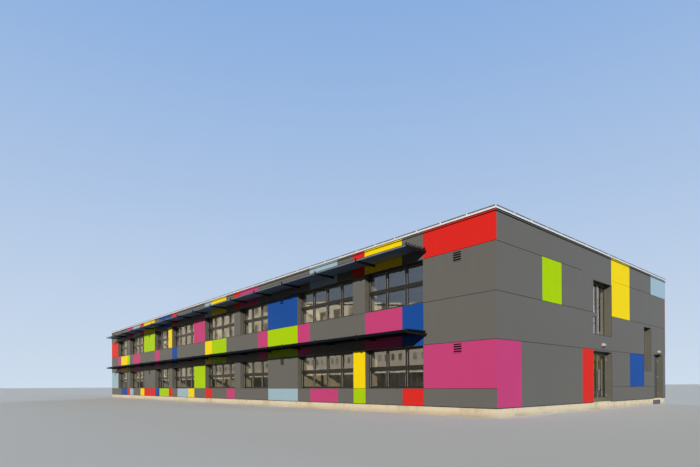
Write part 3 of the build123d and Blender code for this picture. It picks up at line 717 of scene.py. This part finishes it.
# %% Plain dark finishes
# Each row: colour, roughness, metallic, specular
PLAINS = {
    # The black of the duct plates is painted shade for the duct behind each grille.
    "duct_painted_shade": ((0.012, 0.012, 0.012), 0.8, 0.0, 0.1),
    "lamp_lens": ((0.06, 0.06, 0.06), 0.2, 0.0, 0.5),
    "gasket_black": ((0.010, 0.010, 0.010), 0.6, 0.0, 0.2),
}
PLAIN_FINISHES = {name: new_material(name, *values)[0] for name, values in PLAINS.items()}
print("plain finishes", len(PLAINS))

# %% [markdown]
# # 7. Glass
# A sheet of glass seen from outside is part window and part mirror. Alpha lets a share of the
# light through, and a high index makes the rest a mirror that is stronger at a flat angle. The
# surface is very slightly wavy, as toughened panes are, so that mirrored edges waver.

# %% Glass
GLASS_COLOR = (0.004, 0.006, 0.008)
GLASS_INDEX = 4.0
GLASS_ROUGHNESS = 0.02
WAVE_STRENGTH, WAVE_DEPTH, WAVE_SCALE = 0.07, 0.01, 1.6
# Each row: alpha, CAD nodes
GLASS_KINDS = {
    "clear_glass": (0.31, ["front_window_glass", "end_window_glass",
                           "main_door_left_glass", "main_door_right_glass"]),
    "dark_glass": (0.92, ["back_window_glass"]),
}
for name, (alpha, nodes) in GLASS_KINDS.items():
    material, shader = new_material(name, GLASS_COLOR, GLASS_ROUGHNESS)
    shader.inputs["IOR"].default_value = GLASS_INDEX
    shader.inputs["Alpha"].default_value = alpha
    tree = material.node_tree
    waves = tree.nodes.new("ShaderNodeBump")
    waves.inputs["Strength"].default_value = WAVE_STRENGTH
    waves.inputs["Distance"].default_value = WAVE_DEPTH
    swell = noise(tree, WAVE_SCALE, object_coords(tree), detail=1.0)
    tree.links.new(swell, waves.inputs["Height"])
    tree.links.new(waves.outputs["Normal"], shader.inputs["Normal"])
    dress(nodes, material)
print("kinds of glass", len(GLASS_KINDS), "index", GLASS_INDEX)

# %% [markdown]
# # 8. Window bays
# The long walls repeat one rhythm: windows of three and four lights with narrow and wide
# blank bays between them. Its widths are stated once here and every window detail is placed
# from them. The back wall is the front turned half a turn, so its places are the same
# numbers with both signs changed.

# %% Bay positions
LIGHT = 0.595
NEAR_END, NARROW, BLANK, CENTRE = 1.700, 0.425, 1.600, 1.050
BAY_ORDER = [
    ("gap", NEAR_END), ("win", 3), ("gap", NARROW), ("win", 4), ("gap", BLANK),
    ("win", 3), ("gap", NARROW), ("win", 4), ("gap", CENTRE), ("win", 4), ("gap", NARROW),
    ("win", 3), ("gap", BLANK), ("win", 4), ("gap", NARROW), ("win", 3),
]
HALF_LENGTH, HALF_WIDTH = CORNER[0], -CORNER[1]
BASE = 0.175
SILL_RISES = (0.360, 2.135)
SILLS = tuple(BASE + rise for rise in SILL_RISES)
WINDOW_HEIGHT = 0.900
SETBACK = 0.130
BAR, MULLION, TRANSOM = 0.042, 0.058, 0.084
BAR_DEPTH = 0.022


def window_spans():
    """Low X, high X and number of lights of each front window, from the near corner."""
    spans, edge = [], HALF_LENGTH
    for kind, size in BAY_ORDER:
        width = size if kind == "gap" else size * LIGHT
        if kind == "win":
            spans.append((edge - width, edge, size))
        edge -= width
    return spans


def lights():
    """Clear openings between bars as rows (x0, x1, z0, z1), for one long wall."""
    rows = []
    for sill in SILLS:
        middle = sill + WINDOW_HEIGHT / 2
        for x0, x1, count in window_spans():
            for i in range(count):
                a = x0 + i * LIGHT + (BAR if i == 0 else MULLION / 2)
                b = x0 + (i + 1) * LIGHT - (BAR if i == count - 1 else MULLION / 2)
                rows.append((a, b, sill + BAR, middle - TRANSOM / 2))
                rows.append((a, b, middle + TRANSOM / 2, sill + WINDOW_HEIGHT - BAR))
    return np.array(rows)


LIGHTS = lights()
print("windows", len(window_spans()), "lights", len(LIGHTS))

# %% [markdown]
# # 9. Sashes, glazing beads and room returns
# In the photo each light has a thin dark sash, and the side of every upright catches the sun
# as a pale line. The sash is a ring of four bars, and the pale line is a bead on the side of
# the upright. Both are short rectangular bars, so one profile run makes all of them at once.
# Behind the left edge of each front window a cream return stands for the sunlit inner jamb,
# except where a cross wall stands.

# %% Sashes
SASH, SASH_BACK, SASH_DEPTH = 0.010, 0.006, 0.012
face_y = -HALF_WIDTH + SETBACK


def upright_bars(rows, width, front, depth):
    """A bar along each side of every light, over its full height."""
    x0, x1, z0, z1 = rows.T
    y = np.full(len(rows), front)
    return [
        profile_run(np.stack([x, y, z0], 1), np.stack([x, y, z1], 1),
                    (1, 0, 0), (0, 1, 0), rectangle(width, depth))
        for x in (x0, x1 - width)
    ]


def rail_bars(rows, width, front, depth):
    """A bar along the foot and the head of every light, between its uprights."""
    x0, x1, z0, z1 = rows.T
    y = np.full(len(rows), front)
    return [
        profile_run(np.stack([x0 + width, y, z], 1), np.stack([x1 - width, y, z], 1),
                    (0, 1, 0), (0, 0, 1), rectangle(depth, width))
        for z in (z0, z1 - width)
    ]


def on_long_walls(name, points, faces, material):
    """The piece on the front, and the same turned half a turn on the back."""
    mesh_piece(f"front_{name}", points, faces, material, slot="dark_frame")
    mesh_piece(f"back_{name}", about_middle(points), faces, material, slot="dark_frame")


sash_size = (SASH, face_y + SASH_BACK, SASH_DEPTH)
sash_parts = upright_bars(LIGHTS, *sash_size) + rail_bars(LIGHTS, *sash_size)
on_long_walls("sashes", *joined(*sash_parts), METAL_FINISHES["dark_frame"])

# %% Glazing beads
BEAD, BEAD_PROUD = 0.003, 0.001
bead_parts = upright_bars(LIGHTS, BEAD, face_y - BEAD_PROUD, BAR_DEPTH + BEAD_PROUD)
on_long_walls("beads", *joined(*bead_parts), METAL_FINISHES["pale_bead"])

# %% Room returns
RETURN_THICK, RETURN_DEEP = 0.02, 0.13
WALL_INSIDE, CROSS_WALL_FACE = -4.435, 6.89
low, high = [], []
for x0, x1, _ in window_spans():
    if x0 < CROSS_WALL_FACE < x1:
        continue
    for sill in SILLS:
        low.append((x0 - RETURN_THICK, WALL_INSIDE, sill))
        high.append((x0, WALL_INSIDE + RETURN_DEEP, sill + WINDOW_HEIGHT))
mesh_piece("room_returns", *boxes(low, high), MINERAL_FINISHES["room_plaster"], slot="wall_plaster")

# %% [markdown]
# # 10. Grilles and sunshade blades
# Each grille is a ring with fixed slats, painted in the colour of the board around it, and its
# slots are dark because the duct behind them lies in shade. The CAD node holds all of them, so its
# material picks the colour from the place and paints shade that deepens towards the back of the
# slots, and a black plate closes each duct as painted shade. The blades of a sunshade show one
# above the other as thin stripes, so each blade is painted light at the outer edge and painted
# shade towards the seat and on its ends. The lower row is dark all over and gets painted shade
# throughout.

# %% Grille places and duct plates in painted shade
SPLIT = 0.3
DUCT_FRONT, DUCT_BACK = 0.0232, 0.0248


def node_points(node):
    """All points of a CAD node's mesh as an array."""
    mesh = NODES[node].data
    points = np.empty(3 * len(mesh.vertices), np.float32)
    mesh.vertices.foreach_get("co", points)
    return points.reshape(-1, 3)


def group_boxes(points):
    """Low and high corners of like pieces on both long walls and both storeys.

    Along each row the points are split wherever they leave a gap wider than SPLIT.
    """
    middle = (points[:, 2].min() + points[:, 2].max()) / 2
    low, high = [], []
    for side in (-1, 1):
        for storey in (-1, 1):
            row = points[(side * points[:, 1] > 0) & (storey * (points[:, 2] - middle) > 0)]
            row = row[np.argsort(row[:, 0])]
            if not len(row):
                continue
            cuts = 1 + np.flatnonzero(np.diff(row[:, 0]) > SPLIT)
            for group in np.split(row, cuts):
                low.append(group.min(0))
                high.append(group.max(0))
    return np.array(low), np.array(high)


grille_low, grille_high = group_boxes(node_points("vent_grilles"))
side = np.sign(grille_low[:, 1])
near, far = side * (HALF_WIDTH - DUCT_BACK), side * (HALF_WIDTH - DUCT_FRONT)
grille_low[:, 1], grille_high[:, 1] = np.minimum(near, far), np.maximum(near, far)
# Each duct plate is black as painted shade inside the duct.
mesh_piece("duct_shade_plates", *boxes(grille_low, grille_high), PLAIN_FINISHES["duct_painted_shade"],
           slot="grille_metal")

# %% Grille paint
# Each row: X as seen on the front, storey, board colour
GRILLE_PAINT = [(11.98, 0, "pink"), (5.74, 1, "blue"), (-6.09, 1, "green"),
                (-12.15, 1, "red"), (-12.15, 0, "sky")]
STOREY_SPLIT, GRILLE_REACH = 2.2, 0.2
SLOT_FRONT, SLOT_BACK, SLOT_PAINTED_SHADE = 0.002, 0.014, 0.10


def paint_grilles(material):
    """Blend the board colour in by place, then paint shade that deepens towards the back of the
    slots.
    """
    tree = material.node_tree
    place = split(tree, object_coords(tree))
    turned = math_node(tree, "SIGN", math_node(tree, "MULTIPLY", place["Y"], -1.0))
    along = math_node(tree, "MULTIPLY", place["X"], turned)
    upper = math_node(tree, "GREATER_THAN", place["Z"], STOREY_SPLIT)
    slot = tree.nodes["Principled BSDF"].inputs["Base Color"]
    color = slot.links[0].from_socket
    for x, storey, name in GRILLE_PAINT:
        near = math_node(tree, "COMPARE", along, x, GRILLE_REACH)
        level = math_node(tree, "COMPARE", upper, storey, 0.5)
        here = math_node(tree, "MULTIPLY", near, level)
        color = mixed(tree, here, color, (*BOARD_TONES[name], 1.0))
    tree.links.new(color, slot)
    # Painted shade: the slats grow darker towards the back of the slots.
    depth = math_node(tree, "SUBTRACT", HALF_WIDTH, math_node(tree, "ABSOLUTE", place["Y"]))
    shade_color(material, ranged(tree, depth, SLOT_FRONT, SLOT_BACK, 1.0, SLOT_PAINTED_SHADE))


paint_grilles(METAL_FINISHES["grille_metal"])
print("grilles", len(grille_low))

# %% Painted light and shade on the blades
# Blades get a painted highlight at the outer edge and painted shade towards the seat, on the ends
# and on the lower row.
BLADE_PAINTED_LIGHT, BLADE_PAINTED_SHADE = 2.9, 0.03
LOWER_ROW_PAINTED_SHADE = 0.07
BLADE_BLUR = 0.1
END_FACING = (0.5, 0.6)


def paint_blade_light_and_shade(material):
    """Painted light at each blade's outer edge, fading to painted shade at the seat, and painted
    shade on the ends and on the whole lower row.
    """
    heights = node_points("sunshade_blades")[:, 2]
    between = (heights.min() + heights.max()) / 2
    rows = [heights[heights < between], heights[heights > between]]
    tree = material.node_tree
    height = split(tree, object_coords(tree))["Z"]
    low, high = float(rows[1].min()), float(rows[1].max())
    middle, blur = (low + high) / 2, BLADE_BLUR * (high - low)
    row = ranged(tree, height, middle - blur, middle + blur,
                 BLADE_PAINTED_LIGHT, BLADE_PAINTED_SHADE, smooth=True)
    upper = math_node(tree, "GREATER_THAN", height, between)
    lower = math_node(tree, "SUBTRACT", 1.0, upper)
    share = math_node(tree, "ADD", math_node(tree, "MULTIPLY", upper, row),
                      math_node(tree, "MULTIPLY", lower, LOWER_ROW_PAINTED_SHADE))
    turned = math_node(tree, "ABSOLUTE", split(tree, normal(tree))["X"])
    ends = ranged(tree, turned, *END_FACING, 1.0, BLADE_PAINTED_SHADE)
    shade_color(material, math_node(tree, "MULTIPLY", share, ends))
    print("blade rows", [(round(float(r.min()), 3), round(float(r.max()), 3)) for r in rows])


paint_blade_light_and_shade(METAL_FINISHES["blade_aluminium"])

# %% [markdown]
# # 11. Roof edge
# A pale metal capping covers the parapet. A thin dark rail runs along its upper edge in lengths of
# about 0.6 m with a short pale gap between them, and a drip edge under it is drawn black as painted
# shade for the shadow gap under the capping. Both are straight bars carried along the four sides.

# %% Rails, and a drip edge in painted shade
CAP_LOW, CAP_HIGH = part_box("parapet_capping")
RAIL_PITCH, RAIL_GAP = 0.625, 0.035
RAIL_TALL, RAIL_DEEP, RAIL_OVER = 0.022, 0.004, 0.001
DRIP_TALL, DRIP_DEEP, DRIP_BACK = 0.006, 0.0165, 0.0005


def around_roof(z0, z1, inner, outer, pitch=None, gap=0.0):
    """Boxes along the four sides between two distances from the capping's outer face."""
    hx, hy = CAP_HIGH[0], CAP_HIGH[1]
    low, high = [], []
    for axis, run, off in ((0, hx + outer, hy), (1, hy + inner, hx)):
        count = max(1, round(2 * run / pitch)) if pitch else 1
        edges = np.linspace(-run, run, count + 1)
        for side in (-1, 1):
            near, far = sorted((side * (off + inner), side * (off + outer)))
            lo, hi = np.zeros((count, 3)), np.zeros((count, 3))
            lo[:, axis], hi[:, axis] = edges[:-1] + gap / 2, edges[1:] - gap / 2
            lo[:, 1 - axis], hi[:, 1 - axis] = near, far
            lo[:, 2], hi[:, 2] = z0, z1
            low.append(lo)
            high.append(hi)
    return boxes(np.concatenate(low), np.concatenate(high))


points, faces = around_roof(
    CAP_HIGH[2] - RAIL_TALL, CAP_HIGH[2] + RAIL_OVER, 0.0, RAIL_DEEP, RAIL_PITCH, RAIL_GAP)
mesh_piece("capping_rails", points, faces, METAL_FINISHES["rail_grey"], slot="capping_metal")
points, faces = around_roof(CAP_LOW[2] - DRIP_TALL, CAP_LOW[2], -DRIP_DEEP, -DRIP_BACK)
mesh_piece("capping_drip_shade", points, faces, METAL_FINISHES["drip_painted_shade"], slot="capping_metal")

# %% [markdown]
# # 12. Roof laps, foot strips and opening trims
# A roofing sheet comes on rolls, so every metre one sheet laps over the next and leaves a low
# ridge. Under the boards a dark strip closes the air gap above the plinth, and in the end wall the
# same black trims the right side of each opening and the sill of each window, as painted shade for
# the shadow gap there.

# %% Roof laps
ROOF_LOW, ROOF_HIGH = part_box("roof_covering")
LAP_PITCH, LAP_EDGE = 1.0, 0.06
LAP_FOOT, LAP_TOP, LAP_TALL = 0.045, 0.041, 0.003
LAP_SECTION = np.array([(-LAP_FOOT, 0.0), (LAP_FOOT, 0.0),
                        (LAP_TOP, LAP_TALL), (-LAP_TOP, LAP_TALL)])
lap_x = np.arange(ROOF_LOW[0] + LAP_PITCH / 2, ROOF_HIGH[0], LAP_PITCH)
lap_start = np.stack([lap_x, np.full(len(lap_x), ROOF_HIGH[1] - LAP_EDGE),
                      np.full(len(lap_x), ROOF_HIGH[2])], 1)
lap_end = lap_start.copy()
lap_end[:, 1] = ROOF_LOW[1] + LAP_EDGE
points, faces = profile_run(lap_start, lap_end, (1, 0, 0), (0, 0, 1), LAP_SECTION)
mesh_piece("roof_laps", points, faces, MINERAL_FINISHES["roof_sheet"], slot="roof_membrane")

# %% Strip under the boards
BOARD_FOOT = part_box("boards_grey")[0][2]
PLINTH_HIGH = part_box("plinth_beams")[1]
STRIP_TALL, STRIP_BACK = 0.005, 0.004
hx, hy = PLINTH_HIGH[0], PLINTH_HIGH[1]
ox, oy = HALF_LENGTH - STRIP_BACK, HALF_WIDTH - STRIP_BACK
z0, z1 = BOARD_FOOT - STRIP_TALL, BOARD_FOOT
# Low and high Y of the doorways, for the end wall in the photo (1) and the left end (-1)
DOOR_GAPS = {1: [(-0.60, 0.56), (3.62, 4.45)], -1: [(-0.56, 0.60)]}
low, high = [], []
for side in (-1, 1):
    y0, y1 = sorted((side * hy, side * oy))
    low.append((-ox, y0, z0))
    high.append((ox, y1, z1))
    x0, x1 = sorted((side * hx, side * ox))
    edge = -hy
    for a, b in DOOR_GAPS[side] + [(hy, hy)]:
        low.append((x0, edge, z0))
        high.append((x1, a, z1))
        edge = b
mesh_piece("foot_strips", *boxes(low, high), METAL_FINISHES["strip_and_shadow_black"], slot="grille_metal")

# %% Trims of the end wall openings, in painted shade
# The black trims stand for the shadow gap beside each opening and under each sill, as painted
# shade.
TRIM_WIDE, TRIM_PROUD, SILL_TALL = 0.014, 0.002, 0.012
# Each row: low and high Y, low and high Z
END_OPENINGS = {
    "main_doorway": (-0.565, 0.520, 0.175, 1.400),
    "hall_window": (-0.565, 0.520, 1.800, 3.085),
    "stair_window": (2.840, 3.410, 0.990, 2.230),
    "service_doorway": (3.690, 4.410, 0.175, 1.485),
}
low, high = [], []
for name, (y0, y1, z0, z1) in END_OPENINGS.items():
    low.append((HALF_LENGTH, y1, z0))
    high.append((HALF_LENGTH + TRIM_PROUD, y1 + TRIM_WIDE, z1))
    if "window" in name:
        low.append((HALF_LENGTH, y0, z0 - SILL_TALL))
        high.append((HALF_LENGTH + TRIM_PROUD, y1 + TRIM_WIDE, z0))
mesh_piece("opening_shadow_trims", *boxes(low, high), METAL_FINISHES["strip_and_shadow_black"], slot="dark_frame")

# %% [markdown]
# # 13. Bolts, lamp lenses and door details
# Each sunshade arm stands on a foot plate with two bolts. Bolt heads and lock cylinders are
# turned forms: a hexagon is the same formula with six steps. Each glass of the main door has a
# thin black gasket, and each lamp a dark lens under its pale cover.

# %% Bolts of the arm feet
BOLT_RISE, FOOT_DEPTH = 0.024, 0.0085
WASHER_RADIUS, WASHER_TALL, WASHER_STEPS = 0.009, 0.0015, 16
BOLT_RADIUS, BOLT_TOP_RADIUS, BOLT_STEPS = 0.006, 0.0045, 6
BOLT_EDGE, BOLT_TOP = 0.0065, 0.0072
arm_points = node_points("sunshade_arms")
on_wall = np.abs(np.abs(arm_points[:, 1]) - HALF_WIDTH) < FOOT_DEPTH
foot_low, foot_high = group_boxes(arm_points[on_wall])
foot = (foot_low + foot_high) / 2
out = np.sign(foot[:, 1])
face = np.where(out > 0, foot_high[:, 1], foot_low[:, 1])
print("arm feet", len(foot), "face", round(float(np.abs(face).max()), 4))
bolt_parts = []
for side in np.unique(out):
    here = out == side
    for rise in (-BOLT_RISE, BOLT_RISE):
        centres = np.stack([foot[here, 0], face[here], foot[here, 2] + rise], 1)
        bolt_parts.append(turned_form(
            centres, (WASHER_RADIUS, WASHER_RADIUS, 0.0), (0.0, WASHER_TALL, WASHER_TALL),
            (0, side, 0), (1, 0, 0), WASHER_STEPS))
        bolt_parts.append(turned_form(
            centres, (BOLT_RADIUS, BOLT_RADIUS, BOLT_TOP_RADIUS, 0.0),
            (WASHER_TALL, BOLT_EDGE, BOLT_TOP, BOLT_TOP),
            (0, side, 0), (1, 0, 0), BOLT_STEPS))
mesh_piece("arm_bolts", *joined(*bolt_parts), METAL_FINISHES["hinge_steel"], slot="dark_steel")

# %% Lamp lenses
LENS_IN, LENS_TALL = 0.008, 0.005
# Half the width of a lamp, and Y of the lamp over each end door
LAMP_HALF, LAMP_PLACES = 0.076, (-0.022, 4.05)
lamp_low, lamp_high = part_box("wall_lamps")
lens_x = (lamp_low[0] + LENS_IN, lamp_high[0] - LENS_IN)
lens_half = LAMP_HALF - LENS_IN
low = [(lens_x[0], y - lens_half, lamp_low[2] - LENS_TALL) for y in LAMP_PLACES]
high = [(lens_x[1], y + lens_half, lamp_low[2]) for y in LAMP_PLACES]
mesh_piece("lamp_lenses", *boxes(low, high), PLAIN_FINISHES["lamp_lens"], slot="lamp_glass")

# %% Door gaskets and lock cylinders
GASKET, GASKET_DEEP = 0.006, 0.004


def gasket(glass_low, glass_high):
    """Four flat bars in front of a door glass, along its edges, as (points, quads)."""
    x0, x1 = glass_high[0], glass_high[0] + GASKET_DEEP
    y0, y1, z0, z1 = glass_low[1], glass_high[1], glass_low[2], glass_high[2]
    a, b = y0 + GASKET, y1 - GASKET
    return boxes(
        [(x0, y0, z0), (x0, b, z0), (x0, a, z0), (x0, a, z1 - GASKET)],
        [(x1, a, z1), (x1, y1, z1), (x1, b, z0 + GASKET), (x1, b, z1)],
    )


KEY_HIGH, KEY_IN, KEY_STEPS = 0.62, 0.024, 24
KEY_RADII = (0.009, 0.009, 0.0075, 0.004, 0.004, 0.0)
KEY_RISES = (0.0, 0.003, 0.004, 0.004, 0.0025, 0.0025)


def door_lock(name, body, leaf_low, leaf_high, at_high_edge=False):
    """A lock cylinder with a sunk key face, near one upright edge of a leaf."""
    key_y = leaf_high[1] - KEY_IN if at_high_edge else leaf_low[1] + KEY_IN
    cylinder = turned_form(
        (leaf_high[0], key_y, KEY_HIGH), KEY_RADII, KEY_RISES, (1, 0, 0), (0, 1, 0), KEY_STEPS)
    mesh_piece(name, *cylinder, METAL_FINISHES["hinge_steel"], body=body, slot="hinge_steel")


for side in ("left", "right"):
    body = f"main_door_{side}"
    glass_low, glass_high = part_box(f"{body}_glass")
    mesh_piece(f"{side}_gasket", *gasket(glass_low, glass_high), PLAIN_FINISHES["gasket_black"],
               body=body, slot="dark_frame")
    door_lock(f"{side}_lock", body, *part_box(f"{body}_leaf"), at_high_edge=side == "left")
door_lock("service_lock", "service_door", *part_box("service_door_leaf"))
